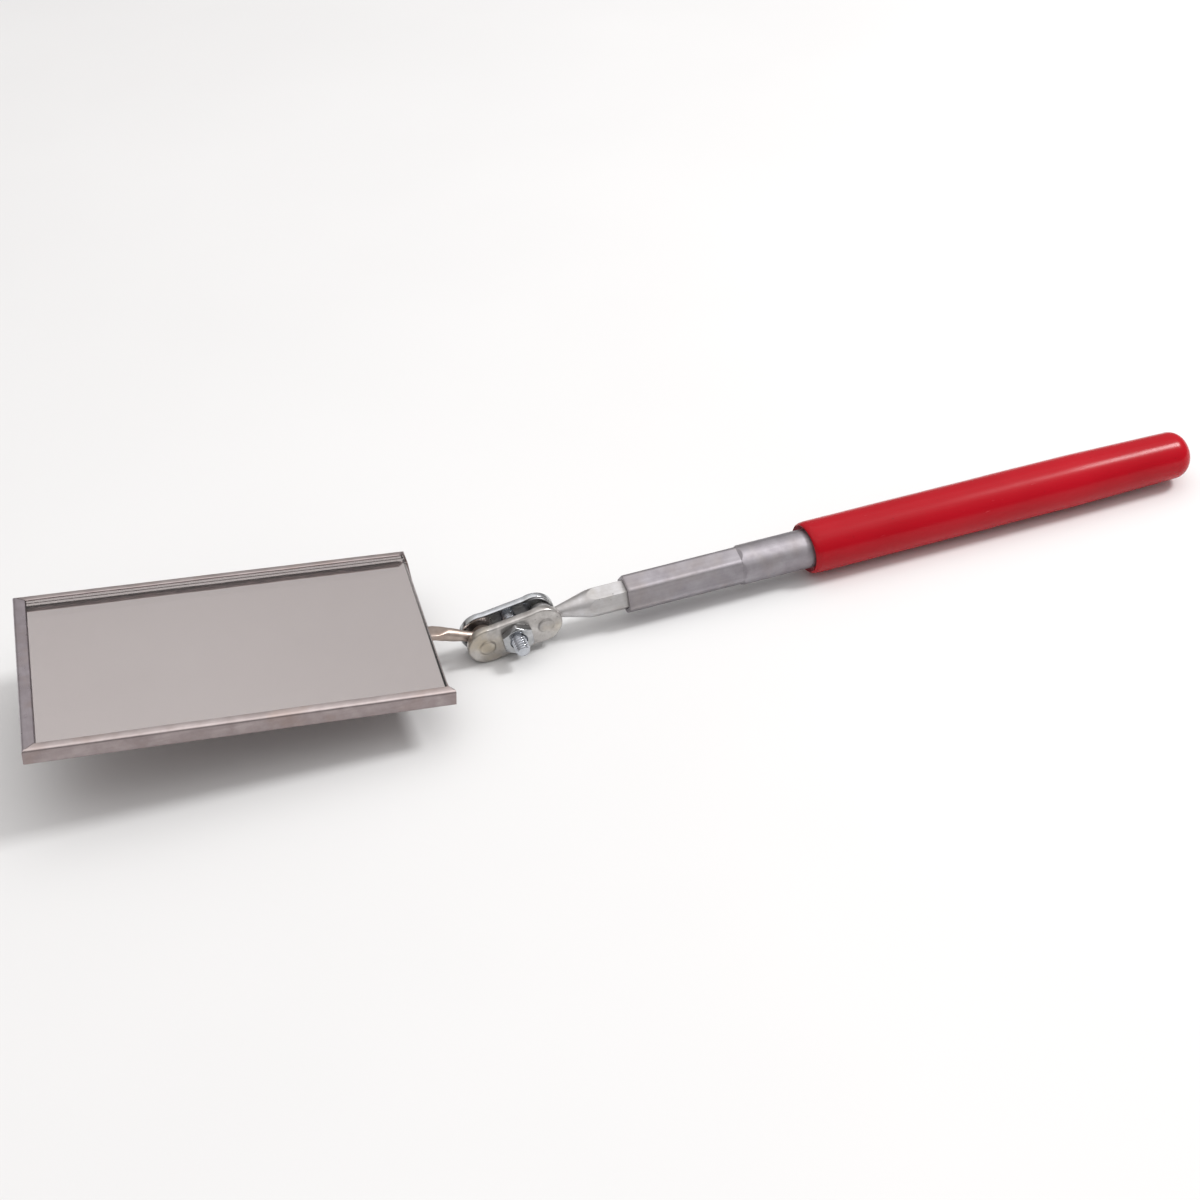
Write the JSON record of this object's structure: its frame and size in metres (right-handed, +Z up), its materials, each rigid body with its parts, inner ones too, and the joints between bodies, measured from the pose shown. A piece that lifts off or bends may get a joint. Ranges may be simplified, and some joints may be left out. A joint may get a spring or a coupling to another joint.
{
  "type": "telescoping inspection mirror",
  "caption": "Rectangular glass mirror in a folded steel frame on a ball-jointed clamp, with a telescoping hexagon rod and a red plastic grip.",
  "frame": {"origin": "on the handle axis, in the straight barrel of the grip", "axes": "+X along the handle from the mirror to the closed end of the grip, +Z up with the mirror facing up, +Y to the left of someone looking along +X"},
  "size_m": [0.2867, 0.0608, 0.0239],
  "materials": {
    "tube_steel": "satin nickel plate",
    "rod_steel": "dull zinc plate",
    "clamp_zinc": "dull zinc plate",
    "fastener_zinc": "bright zinc plate",
    "stem_nickel": "satin nickel plate",
    "frame_steel": "brushed",
    "mirror_glass": "polished",
    "pad_felt": "felt",
    "bush_brass": "plain",
    "spring_steel": "plain",
    "grip_vinyl": "glossy"
  },
  "bodies": {
    "handle": {"outer_tube": "tube_steel", "grip_sleeve": "grip_vinyl"},
    "rod": {"telescoping_rod": "rod_steel", "rod_stop_bush": "bush_brass", "friction_ring": "spring_steel"},
    "rod_end_ball": {"rod_ball": "rod_steel"},
    "clamp": {"near_clamp_plate": "clamp_zinc", "far_clamp_plate": "clamp_zinc", "clamp_screw": "fastener_zinc"},
    "nut": {"clamp_nut": "fastener_zinc"},
    "stem_end_ball": {"stem_ball": "stem_nickel"},
    "mirror_head": {"mirror_stem": "stem_nickel", "mirror_frame": "frame_steel", "backing_pad": "pad_felt", "mirror_glass": "mirror_glass"}
  },
  "joints": [
    {"name": "rod_slide", "type": "slide", "parent": "handle", "child": "rod", "axis": [-1, 0, 0], "range_m": [-0.008, 0.097]},
    {"name": "rod_ball_swivel", "type": "hinge", "parent": "rod", "child": "rod_end_ball", "pos_m": [-0.1008, 0, 0], "axis": [1, 0, 0], "continuous": true},
    {"name": "clamp_tilt", "type": "hinge", "parent": "rod_end_ball", "child": "clamp", "pos_m": [-0.1008, 0, 0], "axis": [-0.0047, -0.9968, -0.0802], "range_deg": [-80, 85]},
    {"name": "nut_turn", "type": "hinge", "parent": "clamp", "child": "nut", "pos_m": [-0.10791, 0.00012, -0.00113], "axis": [-0.0047, -0.9968, -0.0802], "range_deg": [-20, 180]},
    {"name": "mirror_tilt", "type": "hinge", "parent": "clamp", "child": "stem_end_ball", "pos_m": [-0.11502, 0.00025, -0.00225], "axis": [0.0047, 0.9968, 0.0802], "range_deg": [-85, 78]},
    {"name": "mirror_swivel", "type": "hinge", "parent": "stem_end_ball", "child": "mirror_head", "pos_m": [-0.11502, 0.00025, -0.00225], "axis": [-0.9281, 0.0359, 0.3707], "continuous": true}
  ]
}
